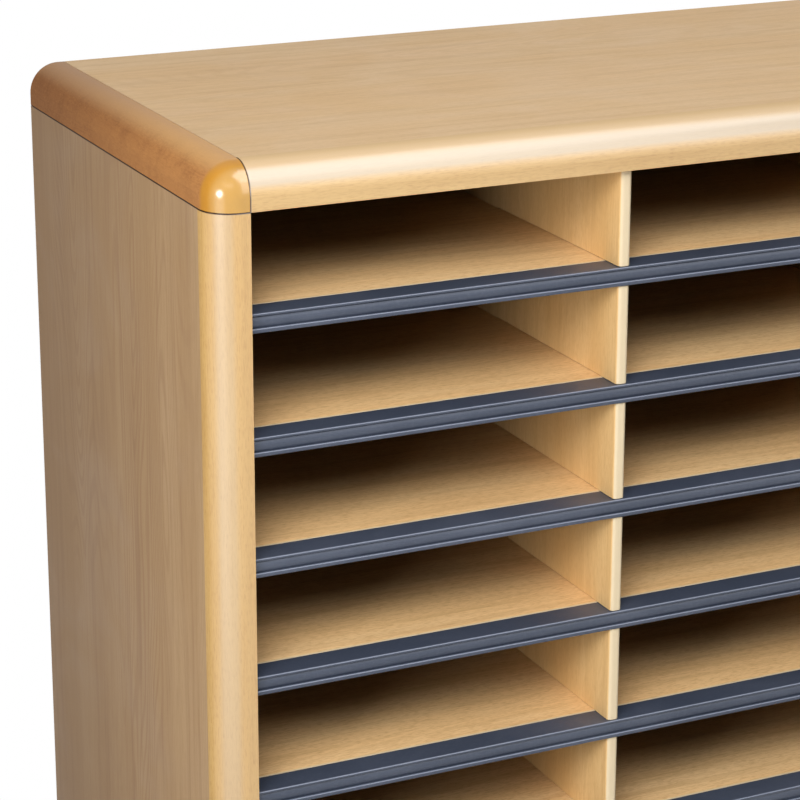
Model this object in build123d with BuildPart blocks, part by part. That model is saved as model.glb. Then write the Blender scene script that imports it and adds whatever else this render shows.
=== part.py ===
from build123d import *
import os

os.makedirs("parts", exist_ok=True)

# Document organizer: a wooden desk sorter with pull-out shelves, label mouldings and rounded corner rails.
# Millimetres, +Z up, front towards -Y, origin on the table under the middle of the case.

# Compartments and case
COLUMNS = 3
ROWS = 8
COMPARTMENT_WIDTH = 251.0
TOP_ROW_HEIGHT = 63.3
DEPTH = 343.0
HEIGHT = 654.0

# Boards
SIDE_THICKNESS = 25.0
TOP_THICKNESS = 28.6
BOTTOM_THICKNESS = 15.5
DIVIDER_THICKNESS = 8.0
SHELF_THICKNESS = 8.0
BACK_THICKNESS = 3.2

# Solid-wood front edging and corner rails
FRONT_LAND = 5.0
SEAM_LAND = 2.0
EDGE_EASE = 1.0
SEAM_EASE = 0.4
TONGUE_THICKNESS = 7.0
TONGUE_LENGTH = 8.0
GLUE_GAP = 0.1

# Back panel in its rabbet
RABBET_WIDTH = 10.0
BACK_SETBACK = 1.5
BACK_FIT = 0.3

# Dividers in their grooves
DIVIDER_SETBACK = 1.3
DIVIDER_EASE = 2.5
GROOVE_DEPTH = 4.0
GROOVE_INSET = 10.0
GROOVE_FIT = 0.1

# Shelves crossing the dividers
SHELF_SIDE_GAP = 1.0
SHELF_BACK_GAP = 0.8
SLOT_FIT = 0.4
SHELF_EASE = 1.2

# Label moulding, an extruded plastic section
MOULDING_SETBACK = 4.0
MOULDING_HEIGHT = 12.2
FLANGE_DEPTH = 20.0
FLANGE_THICKNESS = 1.2
FLANGE_TAPER = 0.6
UPPER_LIP_HEIGHT = 1.8
LOWER_LIP_HEIGHT = 2.8
LIP_ROUND = 0.7
CHANNEL_DEPTH = 2.2
CHANNEL_BULGE = 1.2
WEB_THICKNESS = 1.4
BARB_THICKNESS = 1.6
BARB_LENGTH = 8.0
BARB_DROP = 4.0
BARB_TIP = 0.5
KERF_FIT = 0.15

# Shelf runners in their side grooves
RUNNER_SET = 3.0
RUNNER_REACH = 8.0
RUNNER_HEIGHT = 4.0
RUNNER_INSET = 4.0
RUNNER_FIT = 0.1
RUNNER_SEAT_GAP = 0.2

# Corner splines between rails, sides and top
SPLINE_THICKNESS = 6.0
SPLINE_WIDTH = 16.0
SPLINE_END_INSET = 24.0
SPLINE_FIT = 0.1

# Cam fittings between the bottom and the sides
CAM_RADIUS = 7.5
CAM_SKIN = 3.5
CAM_REACH = 34.0
CAM_INSET = 70.0
CAM_DRIVE_WIDTH = 1.6
CAM_DRIVE_LENGTH = 9.0
CAM_DRIVE_DEPTH = 2.5
BOLT_RADIUS = 2.5
BOLT_THREAD_LENGTH = 11.0
BOLT_HEAD_RADIUS = 3.4
BOLT_HEAD_LENGTH = 3.0
BOLT_BORE_RADIUS = 4.0
BORE_FIT = 0.1
BORE_END_GAP = 1.0

# Back staples
STAPLE_WIDTH = 10.0
STAPLE_WIRE = 1.2
STAPLE_LEG = 14.0
STAPLE_FIT = 0.1
STAPLE_END_INSET = 28.0
SIDE_STAPLE_COUNT = 5
EDGE_STAPLE_COUNT = 5

# Glides
GLIDE_HEIGHT = 2.0
GLIDE_RADIUS = 10.0
GLIDE_BEVEL = 0.6
GLIDE_INSET = 45.0

# Levels and planes that follow from the sizes above
INNER_WIDTH = COLUMNS * COMPARTMENT_WIDTH + (COLUMNS - 1) * DIVIDER_THICKNESS
INNER_RIGHT = INNER_WIDTH / 2
INNER_LEFT = -INNER_RIGHT
OUTER_LEFT = INNER_LEFT - SIDE_THICKNESS
SIDE_MIDDLE = INNER_LEFT - SIDE_THICKNESS / 2
FRONT = -DEPTH / 2
BACK = DEPTH / 2
CORNER_RADIUS = SIDE_THICKNESS - FRONT_LAND
EDGING_DEPTH = CORNER_RADIUS + SEAM_LAND
PANEL_FRONT = FRONT + EDGING_DEPTH
RABBET_DEPTH = BACK_THICKNESS + BACK_SETBACK
RABBET_FACE = BACK - RABBET_DEPTH
BASE = GLIDE_HEIGHT
FLOOR_TOP = BASE + BOTTOM_THICKNESS
TOP_UNDERSIDE = HEIGHT - TOP_THICKNESS
ROW_PITCH = (TOP_UNDERSIDE - TOP_ROW_HEIGHT - FLOOR_TOP) / (ROWS - 1)
SHELF_LEVELS = [FLOOR_TOP + ROW_PITCH * row for row in range(ROWS - 1, 0, -1)]
SIDE_HEIGHT = TOP_UNDERSIDE - BASE
LIP_PLANE = FRONT + MOULDING_SETBACK
BOARD_FRONT = LIP_PLANE + CHANNEL_DEPTH + WEB_THICKNESS
DIVIDER_FRONT = LIP_PLANE + DIVIDER_SETBACK
DIVIDER_PLACES = [
    INNER_LEFT + column * COMPARTMENT_WIDTH + (column - 1 / 2) * DIVIDER_THICKNESS
    for column in range(1, COLUMNS)
]
GROOVE_FRONT = PANEL_FRONT + GROOVE_INSET
GROOVE_LENGTH = RABBET_FACE - GROOVE_FRONT
CROSSING = (BOARD_FRONT + RABBET_FACE) / 2
CAM_AXIS = BASE + BOTTOM_THICKNESS / 2
RUNNER_FRONT = PANEL_FRONT + RUNNER_INSET
RUNNER_DROP = SHELF_THICKNESS + RUNNER_SEAT_GAP
SPLINE_LEVEL = TOP_UNDERSIDE + TOP_THICKNESS / 2
SPLINE_LENGTH = BACK - SPLINE_END_INSET - GROOVE_FRONT


def finish(piece, name):
    """Name a finished piece and write it to its own file."""
    piece.label = name
    export_step(piece, f"parts/{name}.step")


def spread(first, last, count):
    """Evenly spaced places from first to last."""
    return [first + (last - first) * step / (count - 1) for step in range(count)]


def both_ways(inset):
    """The two places in the depth that lie this far from the front and from the back."""
    return [FRONT + inset, BACK - inset]


# Places of the fittings, each a plane on the joint
def bolt_seats(hand):
    """Cam bolts through the joint between one side and the bottom panel, towards the cams."""
    return [
        Plane((hand * INNER_RIGHT, place, CAM_AXIS), z_dir=(-hand, 0, 0)) for place in both_ways(CAM_INSET)
    ]


def cam_seats(hand):
    """Cams in the underside of the bottom panel, at the reach of their bolts."""
    reach = hand * (INNER_RIGHT - CAM_REACH)
    return [Plane((reach, place, BASE), z_dir=(0, 0, -1)) for place in both_ways(CAM_INSET)]


ALL_BOLTS = [*bolt_seats(-1), *bolt_seats(1)]


def staple_seats(points, crown):
    """Staples driven forward through the back panel into the case, at places across and up."""
    return [Plane((across, RABBET_FACE, level), x_dir=crown, z_dir=(0, 1, 0)) for across, level in points]


def side_staples(hand):
    """Staples into one side's rabbet, with upright crowns."""
    across = hand * (INNER_RIGHT + RABBET_WIDTH / 2)
    levels = spread(BASE + STAPLE_END_INSET, TOP_UNDERSIDE - STAPLE_END_INSET, SIDE_STAPLE_COUNT)
    return staple_seats([(across, level) for level in levels], (0, 0, 1))


def edge_staples(level):
    """Staples along the top or the bottom, with level crowns."""
    places = spread(INNER_LEFT + STAPLE_END_INSET, INNER_RIGHT - STAPLE_END_INSET, EDGE_STAPLE_COUNT)
    return staple_seats([(across, level) for across in places], (1, 0, 0))


TOP_STAPLES = edge_staples(TOP_UNDERSIDE + RABBET_WIDTH / 2)
BOTTOM_STAPLES = edge_staples(CAM_AXIS)
ALL_STAPLES = [*side_staples(-1), *side_staples(1), *TOP_STAPLES, *BOTTOM_STAPLES]
STAPLE_LEGS = ((STAPLE_WIRE - STAPLE_WIDTH) / 2, 0), ((STAPLE_WIDTH - STAPLE_WIRE) / 2, 0)


def pierce_for_staples(seats):
    """Narrow slots for the legs of staples, from the back face of the back panel forward."""
    with Locations(*[seat.offset(BACK_THICKNESS) for seat in seats]):
        with Locations(*STAPLE_LEGS):
            Box(
                STAPLE_WIRE + 2 * STAPLE_FIT,
                STAPLE_WIRE + 2 * STAPLE_FIT,
                STAPLE_LEG + STAPLE_FIT,
                align=(Align.CENTER, Align.CENTER, Align.MAX),
                mode=Mode.SUBTRACT,
            )


# Side panels: laminated boards, grooved in front for their edging, with a rabbet for the back
with BuildPart() as left_side_panel:
    with BuildSketch(Plane.XY.offset(BASE)):
        with Locations((SIDE_MIDDLE, PANEL_FRONT)):
            Rectangle(SIDE_THICKNESS, BACK - PANEL_FRONT, align=(Align.CENTER, Align.MIN))
            Rectangle(
                TONGUE_THICKNESS + 2 * GLUE_GAP,
                TONGUE_LENGTH + GLUE_GAP,
                align=(Align.CENTER, Align.MIN),
                mode=Mode.SUBTRACT,
            )
        with Locations((INNER_LEFT, BACK)):
            Rectangle(RABBET_WIDTH, RABBET_DEPTH, align=(Align.MAX, Align.MAX), mode=Mode.SUBTRACT)
    extrude(amount=SIDE_HEIGHT)
    top_end = left_side_panel.faces().sort_by(Axis.Z)[-1]
    chamfer(top_end.edges().filter_by(Axis.Y).sort_by(Axis.X)[0], SEAM_EASE)
    with BuildSketch(Plane.YZ.offset(INNER_LEFT)):
        with Locations(*[(RUNNER_FRONT, level - RUNNER_DROP + RUNNER_FIT) for level in SHELF_LEVELS]):
            Rectangle(
                RABBET_FACE - RUNNER_FRONT, RUNNER_HEIGHT + 2 * RUNNER_FIT, align=(Align.MIN, Align.MAX)
            )
    extrude(amount=-RUNNER_SET - RUNNER_FIT, mode=Mode.SUBTRACT)
    with BuildSketch(Plane.XY.offset(TOP_UNDERSIDE)):
        with Locations((SIDE_MIDDLE, GROOVE_FRONT - SPLINE_FIT)):
            Rectangle(
                SPLINE_THICKNESS + 2 * SPLINE_FIT,
                SPLINE_LENGTH + 2 * SPLINE_FIT,
                align=(Align.CENTER, Align.MIN),
            )
    extrude(amount=-SPLINE_WIDTH / 2 - SPLINE_FIT, mode=Mode.SUBTRACT)
    with Locations(*bolt_seats(-1)):
        Hole(BOLT_RADIUS + BORE_FIT, BOLT_THREAD_LENGTH + BORE_END_GAP)
    pierce_for_staples(side_staples(-1))
finish(left_side_panel.part, "left_side_panel")

with BuildPart() as right_side_panel:
    mirror(left_side_panel.part, about=Plane.YZ)
finish(right_side_panel.part, "right_side_panel")

# Front edging of the sides: a solid-wood post with a wide rounded outer corner and a tongue into the panel
with BuildPart() as left_front_edging:
    with BuildSketch(Plane.XY.offset(BASE)) as post_plan:
        with Locations((SIDE_MIDDLE, PANEL_FRONT)):
            Rectangle(SIDE_THICKNESS, EDGING_DEPTH, align=(Align.CENTER, Align.MAX))
        front_corners = post_plan.vertices().group_by(Axis.Y)[0].sort_by(Axis.X)
        fillet(front_corners[0], CORNER_RADIUS)
        fillet(front_corners[-1], EDGE_EASE)
        with Locations((SIDE_MIDDLE, PANEL_FRONT)):
            Rectangle(TONGUE_THICKNESS, TONGUE_LENGTH, align=(Align.CENTER, Align.MIN))
    extrude(amount=SIDE_HEIGHT)
    post_end = left_front_edging.faces().sort_by(Axis.Z)[-1]
    post_seam = post_end.edges().filter_by_position(Axis.X, OUTER_LEFT, INNER_LEFT - GLUE_GAP)
    chamfer(post_seam.filter_by_position(Axis.Y, FRONT, PANEL_FRONT - GLUE_GAP), SEAM_EASE)
finish(left_front_edging.part, "left_front_edging")

with BuildPart() as right_front_edging:
    mirror(left_front_edging.part, about=Plane.YZ)
finish(right_front_edging.part, "right_front_edging")

# Corner rails: solid-wood rails along the upper side edges, quarter round, with a ball-shaped front corner
with BuildPart() as left_corner_rail:
    with BuildSketch(Plane.XY.offset(TOP_UNDERSIDE)):
        with Locations((SIDE_MIDDLE, 0)):
            Rectangle(SIDE_THICKNESS, DEPTH)
    extrude(amount=TOP_THICKNESS)
    outer_edge = left_corner_rail.edges().filter_by(Axis.Y).group_by(Axis.Z)[-1].sort_by(Axis.X)[0]
    front_edge = left_corner_rail.edges().filter_by(Axis.X).group_by(Axis.Z)[-1].sort_by(Axis.Y)[0]
    upright_edge = left_corner_rail.edges().filter_by(Axis.Z).group_by(Axis.Y)[0].sort_by(Axis.X)[0]
    fillet([front_edge, outer_edge, upright_edge], CORNER_RADIUS)
    rail_underside = left_corner_rail.faces().sort_by(Axis.Z)[0]
    rail_inner_face = left_corner_rail.faces().sort_by(Axis.X)[-1]
    side_seam = rail_underside.edges().filter_by_position(Axis.X, OUTER_LEFT, INNER_LEFT - GLUE_GAP)
    top_seam = rail_inner_face.edges().filter_by_position(Axis.Z, TOP_UNDERSIDE + GLUE_GAP, HEIGHT)
    chamfer((side_seam + top_seam).filter_by_position(Axis.Y, FRONT, BACK - GLUE_GAP), SEAM_EASE)
    with BuildSketch(Plane.XZ.offset(-BACK)):
        with Locations((INNER_LEFT, TOP_UNDERSIDE)):
            Rectangle(RABBET_WIDTH, RABBET_WIDTH, align=(Align.MAX, Align.MIN))
    extrude(amount=RABBET_DEPTH, mode=Mode.SUBTRACT)
    with BuildSketch(Plane.XZ.offset(-GROOVE_FRONT + SPLINE_FIT)):
        with Locations((SIDE_MIDDLE, TOP_UNDERSIDE)):
            Rectangle(SPLINE_THICKNESS + 2 * SPLINE_FIT, SPLINE_WIDTH + 2 * SPLINE_FIT)
        with Locations((INNER_LEFT, SPLINE_LEVEL)):
            Rectangle(SPLINE_WIDTH + 2 * SPLINE_FIT, SPLINE_THICKNESS + 2 * SPLINE_FIT)
    extrude(amount=-SPLINE_LENGTH - 2 * SPLINE_FIT, mode=Mode.SUBTRACT)
finish(left_corner_rail.part, "left_corner_rail")

with BuildPart() as right_corner_rail:
    mirror(left_corner_rail.part, about=Plane.YZ)
finish(right_corner_rail.part, "right_corner_rail")

# Top panel between the rails: grooved in front, with a rabbet for the back and grooves for the dividers
with BuildPart() as top_panel:
    with BuildSketch(Plane.YZ.offset(INNER_LEFT)):
        with Locations((PANEL_FRONT, TOP_UNDERSIDE)):
            Rectangle(BACK - PANEL_FRONT, TOP_THICKNESS, align=(Align.MIN, Align.MIN))
        with Locations((PANEL_FRONT, TOP_UNDERSIDE + TOP_THICKNESS / 2)):
            Rectangle(
                TONGUE_LENGTH + GLUE_GAP,
                TONGUE_THICKNESS + 2 * GLUE_GAP,
                align=(Align.MIN, Align.CENTER),
                mode=Mode.SUBTRACT,
            )
        with Locations((BACK, TOP_UNDERSIDE)):
            Rectangle(RABBET_DEPTH, RABBET_WIDTH, align=(Align.MAX, Align.MIN), mode=Mode.SUBTRACT)
    extrude(amount=INNER_WIDTH)
    chamfer(top_panel.faces().sort_by(Axis.Z)[-1].edges().filter_by(Axis.Y), SEAM_EASE)
    with BuildSketch(Plane.XY.offset(TOP_UNDERSIDE)):
        with Locations(*[(place, GROOVE_FRONT) for place in DIVIDER_PLACES]):
            Rectangle(DIVIDER_THICKNESS + 2 * GROOVE_FIT, GROOVE_LENGTH, align=(Align.CENTER, Align.MIN))
    extrude(amount=GROOVE_DEPTH + GROOVE_FIT, mode=Mode.SUBTRACT)
    with BuildSketch(Plane.XZ.offset(-GROOVE_FRONT + SPLINE_FIT)):
        with Locations((INNER_LEFT, SPLINE_LEVEL), (INNER_RIGHT, SPLINE_LEVEL)):
            Rectangle(SPLINE_WIDTH + 2 * SPLINE_FIT, SPLINE_THICKNESS + 2 * SPLINE_FIT)
    extrude(amount=-SPLINE_LENGTH - 2 * SPLINE_FIT, mode=Mode.SUBTRACT)
    pierce_for_staples(TOP_STAPLES)
finish(top_panel.part, "top_panel")

# Front edging of the top: solid wood, its upper edge rounded like the rails, with a tongue into the panel
with BuildPart() as top_front_edging:
    with BuildSketch(Plane.YZ.offset(INNER_LEFT)) as edging_section:
        with Locations((PANEL_FRONT, TOP_UNDERSIDE)):
            Rectangle(EDGING_DEPTH, TOP_THICKNESS, align=(Align.MAX, Align.MIN))
        nose_corners = edging_section.vertices().group_by(Axis.X)[0].sort_by(Axis.Y)
        fillet(nose_corners[-1], CORNER_RADIUS)
        fillet(nose_corners[0], EDGE_EASE)
        with Locations((PANEL_FRONT, TOP_UNDERSIDE + TOP_THICKNESS / 2)):
            Rectangle(TONGUE_LENGTH, TONGUE_THICKNESS, align=(Align.MIN, Align.CENTER))
    extrude(amount=INNER_WIDTH)
    edging_faces = top_front_edging.faces().sort_by(Axis.X)
    for edging_end in (edging_faces[0], edging_faces[-1]):
        nose_seam = edging_end.edges().filter_by_position(Axis.Y, FRONT, PANEL_FRONT - GLUE_GAP)
        chamfer(nose_seam.filter_by_position(Axis.Z, TOP_UNDERSIDE + EDGE_EASE, HEIGHT), SEAM_EASE)
finish(top_front_edging.part, "top_front_edging")

# Bottom panel between the sides: rebated and kerfed in front for its moulding, grooved for the dividers
with BuildPart() as bottom_panel:
    with BuildSketch(Plane.YZ.offset(INNER_LEFT)):
        with Locations((BOARD_FRONT, FLOOR_TOP)):
            Rectangle(RABBET_FACE - BOARD_FRONT, BOTTOM_THICKNESS, align=(Align.MIN, Align.MAX))
        with Locations((LIP_PLANE, FLOOR_TOP)):
            Rectangle(
                FLANGE_DEPTH + KERF_FIT,
                FLANGE_THICKNESS,
                align=(Align.MIN, Align.MAX),
                mode=Mode.SUBTRACT,
            )
        with Locations((BOARD_FRONT, FLOOR_TOP - BARB_DROP)):
            Rectangle(
                BARB_LENGTH + KERF_FIT,
                BARB_THICKNESS + 2 * KERF_FIT,
                align=(Align.MIN, Align.CENTER),
                mode=Mode.SUBTRACT,
            )
    extrude(amount=INNER_WIDTH)
    with BuildSketch(Plane.XY.offset(FLOOR_TOP)):
        with Locations(*[(place, GROOVE_FRONT) for place in DIVIDER_PLACES]):
            Rectangle(DIVIDER_THICKNESS + 2 * GROOVE_FIT, GROOVE_LENGTH, align=(Align.CENTER, Align.MIN))
    extrude(amount=-GROOVE_DEPTH - GROOVE_FIT, mode=Mode.SUBTRACT)
    with Locations(*cam_seats(-1), *cam_seats(1)):
        Hole(CAM_RADIUS + BORE_FIT, BOTTOM_THICKNESS - CAM_SKIN + BORE_FIT)
    with Locations(*[seat.rotated((180, 0, 0)) for seat in ALL_BOLTS]):
        Hole(BOLT_BORE_RADIUS, CAM_REACH)
    pierce_for_staples(BOTTOM_STAPLES)
finish(bottom_panel.part, "bottom_panel")

# Back panel: thin hardboard in the rabbet, pierced by its staples
with BuildPart() as back_panel:
    with BuildSketch(Plane.XZ.offset(-RABBET_FACE)):
        with Locations((0, BASE)):
            Rectangle(
                INNER_WIDTH + 2 * RABBET_WIDTH - 2 * BACK_FIT,
                SIDE_HEIGHT + RABBET_WIDTH - BACK_FIT,
                align=(Align.CENTER, Align.MIN),
            )
    extrude(amount=-BACK_THICKNESS)
    pierce_for_staples(ALL_STAPLES)
finish(back_panel.part, "back_panel")


# Dividers: upright boards, slotted from the front for the shelves and notched where the mouldings pass
def make_divider(place, name):
    with BuildPart() as divider:
        with BuildSketch(Plane.YZ.offset(place - DIVIDER_THICKNESS / 2)):
            with Locations((DIVIDER_FRONT, FLOOR_TOP)):
                Rectangle(
                    RABBET_FACE - DIVIDER_FRONT, TOP_UNDERSIDE - FLOOR_TOP, align=(Align.MIN, Align.MIN)
                )
            with Locations((GROOVE_FRONT + GROOVE_FIT, FLOOR_TOP - GROOVE_DEPTH)):
                Rectangle(
                    GROOVE_LENGTH - GROOVE_FIT,
                    TOP_UNDERSIDE - FLOOR_TOP + 2 * GROOVE_DEPTH,
                    align=(Align.MIN, Align.MIN),
                )
            with Locations(*[(DIVIDER_FRONT, level + SLOT_FIT) for level in SHELF_LEVELS]):
                Rectangle(
                    CROSSING - DIVIDER_FRONT,
                    SHELF_THICKNESS + 2 * SLOT_FIT,
                    align=(Align.MIN, Align.MAX),
                    mode=Mode.SUBTRACT,
                )
                Rectangle(
                    BOARD_FRONT + SLOT_FIT - DIVIDER_FRONT,
                    MOULDING_HEIGHT + 2 * SLOT_FIT,
                    align=(Align.MIN, Align.MAX),
                    mode=Mode.SUBTRACT,
                )
        extrude(amount=DIVIDER_THICKNESS)
        fillet(divider.edges().filter_by(Axis.Z).group_by(Axis.Y)[0], DIVIDER_EASE)
    finish(divider.part, name)


for divider_place, divider_name in zip(DIVIDER_PLACES, ("left_divider", "right_divider")):
    make_divider(divider_place, divider_name)


# Shelves: thin boards that slide out, slotted from the back for the dividers, with a moulding on the front
def make_shelf(level, name):
    with BuildPart() as shelf:
        with BuildSketch(Plane.YZ.offset(INNER_LEFT + SHELF_SIDE_GAP)):
            with Locations((BOARD_FRONT, level)):
                Rectangle(
                    RABBET_FACE - SHELF_BACK_GAP - BOARD_FRONT, SHELF_THICKNESS, align=(Align.MIN, Align.MAX)
                )
            with Locations((LIP_PLANE, level)):
                Rectangle(
                    FLANGE_DEPTH + KERF_FIT,
                    FLANGE_THICKNESS,
                    align=(Align.MIN, Align.MAX),
                    mode=Mode.SUBTRACT,
                )
            with Locations((BOARD_FRONT, level - BARB_DROP)):
                Rectangle(
                    BARB_LENGTH + KERF_FIT,
                    BARB_THICKNESS + 2 * KERF_FIT,
                    align=(Align.MIN, Align.CENTER),
                    mode=Mode.SUBTRACT,
                )
        extrude(amount=INNER_WIDTH - 2 * SHELF_SIDE_GAP)
        with BuildSketch(Plane.XY.offset(level)):
            with Locations(*[(place, CROSSING - SLOT_FIT) for place in DIVIDER_PLACES]):
                Rectangle(
                    DIVIDER_THICKNESS + 2 * SLOT_FIT, RABBET_FACE - CROSSING, align=(Align.CENTER, Align.MIN)
                )
        extrude(amount=-SHELF_THICKNESS, mode=Mode.SUBTRACT)
        chamfer(shelf.edges().filter_by(Axis.Z).group_by(Axis.Y)[-1], SHELF_EASE)
    finish(shelf.part, name)


# Label moulding: a flange on the shelf, a bowed label channel between two lips, and a barb in the front kerf
def make_moulding(level, name):
    bottom = level - MOULDING_HEIGHT
    channel_top = level - UPPER_LIP_HEIGHT
    channel_bottom = bottom + LOWER_LIP_HEIGHT
    channel_back = LIP_PLANE + CHANNEL_DEPTH
    barb_top = level - BARB_DROP + BARB_THICKNESS / 2
    barb_bottom = barb_top - BARB_THICKNESS
    barb_end = BOARD_FRONT + BARB_LENGTH
    flange_end = LIP_PLANE + FLANGE_DEPTH
    with BuildPart() as moulding:
        with BuildSketch(Plane.YZ.offset(INNER_LEFT + SHELF_SIDE_GAP)) as section:
            with BuildLine():
                Polyline(
                    (channel_back, channel_top),
                    (LIP_PLANE, channel_top),
                    (LIP_PLANE, level),
                    (flange_end - FLANGE_TAPER, level),
                    (flange_end, level - FLANGE_THICKNESS / 2),
                    (flange_end, level - FLANGE_THICKNESS),
                    (BOARD_FRONT, level - FLANGE_THICKNESS),
                    (BOARD_FRONT, barb_top),
                    (barb_end - BARB_TIP, barb_top),
                    (barb_end, barb_top - BARB_TIP),
                    (barb_end, barb_bottom + BARB_TIP),
                    (barb_end - BARB_TIP, barb_bottom),
                    (BOARD_FRONT, barb_bottom),
                    (BOARD_FRONT, bottom),
                    (LIP_PLANE, bottom),
                    (LIP_PLANE, channel_bottom),
                    (channel_back, channel_bottom),
                )
                ThreePointArc(
                    (channel_back, channel_bottom),
                    (channel_back - CHANNEL_BULGE, (channel_top + channel_bottom) / 2),
                    (channel_back, channel_top),
                )
            make_face()
            fillet(section.vertices().group_by(Axis.X)[0], LIP_ROUND)
        extrude(amount=INNER_WIDTH - 2 * SHELF_SIDE_GAP)
    finish(moulding.part, name)


for number, shelf_level in enumerate(SHELF_LEVELS, start=1):
    make_shelf(shelf_level, f"shelf_{number}")
    make_moulding(shelf_level, f"label_moulding_{number}")
make_moulding(FLOOR_TOP, "bottom_label_moulding")

# Shelf runners: wooden strips in the side grooves, one under each end of every shelf
with BuildPart() as left_shelf_runners:
    with BuildSketch(Plane.YZ.offset(INNER_LEFT - RUNNER_SET)):
        with Locations(*[(RUNNER_FRONT + RUNNER_FIT, level - RUNNER_DROP) for level in SHELF_LEVELS]):
            Rectangle(RABBET_FACE - RUNNER_FRONT - RUNNER_FIT, RUNNER_HEIGHT, align=(Align.MIN, Align.MAX))
    extrude(amount=RUNNER_SET + RUNNER_REACH)
    chamfer(left_shelf_runners.edges().filter_by(Axis.Z).group_by(Axis.Y)[0].group_by(Axis.X)[-1], RUNNER_SET)
finish(left_shelf_runners.part, "left_shelf_runners")

with BuildPart() as right_shelf_runners:
    mirror(left_shelf_runners.part, about=Plane.YZ)
finish(right_shelf_runners.part, "right_shelf_runners")

# Corner splines: plywood strips, upright between sides and rails, level between top and rails
with BuildPart() as corner_splines:
    with BuildSketch(Plane.XZ.offset(-GROOVE_FRONT)):
        with Locations((SIDE_MIDDLE, TOP_UNDERSIDE), (-SIDE_MIDDLE, TOP_UNDERSIDE)):
            Rectangle(SPLINE_THICKNESS, SPLINE_WIDTH)
        with Locations((INNER_LEFT, SPLINE_LEVEL), (INNER_RIGHT, SPLINE_LEVEL)):
            Rectangle(SPLINE_WIDTH, SPLINE_THICKNESS)
    extrude(amount=-SPLINE_LENGTH)
finish(corner_splines.part, "corner_splines")

# Cams: slotted zinc drums that draw the bolt heads in, with a cross drive below
with BuildPart() as cam_locks:
    cam_height = BOTTOM_THICKNESS - CAM_SKIN
    slot_width = 2 * (BOLT_HEAD_RADIUS + BORE_FIT)
    with Locations(*cam_seats(-1), *cam_seats(1)):
        Cylinder(CAM_RADIUS, cam_height, align=(Align.CENTER, Align.CENTER, Align.MAX))
        Box(
            CAM_DRIVE_LENGTH,
            CAM_DRIVE_WIDTH,
            CAM_DRIVE_DEPTH,
            align=(Align.CENTER, Align.CENTER, Align.MAX),
            mode=Mode.SUBTRACT,
        )
        Box(
            CAM_DRIVE_WIDTH,
            CAM_DRIVE_LENGTH,
            CAM_DRIVE_DEPTH,
            align=(Align.CENTER, Align.CENTER, Align.MAX),
            mode=Mode.SUBTRACT,
        )
    with Locations(*[seat.offset(CAM_REACH + BOLT_HEAD_LENGTH) for seat in ALL_BOLTS]):
        Box(
            slot_width,
            slot_width,
            CAM_RADIUS + 2 * BOLT_HEAD_LENGTH,
            align=(Align.CENTER, Align.CENTER, Align.MAX),
            mode=Mode.SUBTRACT,
        )
finish(cam_locks.part, "cam_locks")

# Cam bolts: threaded into the sides, with a head inside the cam
with BuildPart() as cam_bolts:
    with Locations(*[seat.offset(-BOLT_THREAD_LENGTH) for seat in ALL_BOLTS]):
        Cylinder(
            BOLT_RADIUS, BOLT_THREAD_LENGTH + CAM_REACH, align=(Align.CENTER, Align.CENTER, Align.MIN)
        )
    with Locations(*[seat.offset(CAM_REACH) for seat in ALL_BOLTS]):
        Cylinder(BOLT_HEAD_RADIUS, BOLT_HEAD_LENGTH)
finish(cam_bolts.part, "cam_bolts")

# Back staples: crowns on the hardboard, legs in the case
with BuildPart() as back_staples:
    with Locations(*[seat.offset(BACK_THICKNESS) for seat in ALL_STAPLES]):
        Box(STAPLE_WIDTH, STAPLE_WIRE, STAPLE_WIRE, align=(Align.CENTER, Align.CENTER, Align.MIN))
        with Locations(*STAPLE_LEGS):
            Box(STAPLE_WIRE, STAPLE_WIRE, STAPLE_LEG, align=(Align.CENTER, Align.CENTER, Align.MAX))
finish(back_staples.part, "back_staples")

# Glides: round pads under the sides
with BuildPart() as glides:
    with BuildSketch(Plane.XY.offset(BASE)):
        with GridLocations(-2 * SIDE_MIDDLE, DEPTH - 2 * GLIDE_INSET, 2, 2):
            Circle(GLIDE_RADIUS)
    extrude(amount=-GLIDE_HEIGHT)
    chamfer(glides.edges().filter_by(GeomType.CIRCLE).group_by(Axis.Z)[0], GLIDE_BEVEL)
finish(glides.part, "glides")
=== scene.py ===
from math import cos, radians, sin

import bpy
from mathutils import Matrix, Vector


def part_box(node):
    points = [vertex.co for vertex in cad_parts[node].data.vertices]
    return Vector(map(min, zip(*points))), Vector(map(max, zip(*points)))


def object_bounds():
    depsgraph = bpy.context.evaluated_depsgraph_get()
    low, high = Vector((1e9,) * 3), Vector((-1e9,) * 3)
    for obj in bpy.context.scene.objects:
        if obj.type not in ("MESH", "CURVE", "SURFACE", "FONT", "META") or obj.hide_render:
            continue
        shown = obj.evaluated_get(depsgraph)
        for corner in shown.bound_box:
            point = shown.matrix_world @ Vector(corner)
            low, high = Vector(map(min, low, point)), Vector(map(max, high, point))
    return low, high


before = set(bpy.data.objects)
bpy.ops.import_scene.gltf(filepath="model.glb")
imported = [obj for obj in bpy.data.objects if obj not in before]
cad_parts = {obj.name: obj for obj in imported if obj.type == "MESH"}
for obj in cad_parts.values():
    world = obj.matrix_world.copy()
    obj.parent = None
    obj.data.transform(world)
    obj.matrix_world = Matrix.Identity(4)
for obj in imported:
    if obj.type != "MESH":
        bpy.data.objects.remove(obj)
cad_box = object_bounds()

# Camera of the photograph: metres, degrees, and millimetres for the lens
CAMERA_PLACE = (-0.9605, -1.6155, 1.0194)
CAMERA_TURN = (73.52, -0.08, -24.94)
SENSOR_WIDTH = 36.0
FOCAL_LENGTH = 123.28
CAMERA_SHIFT = -0.1

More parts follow.
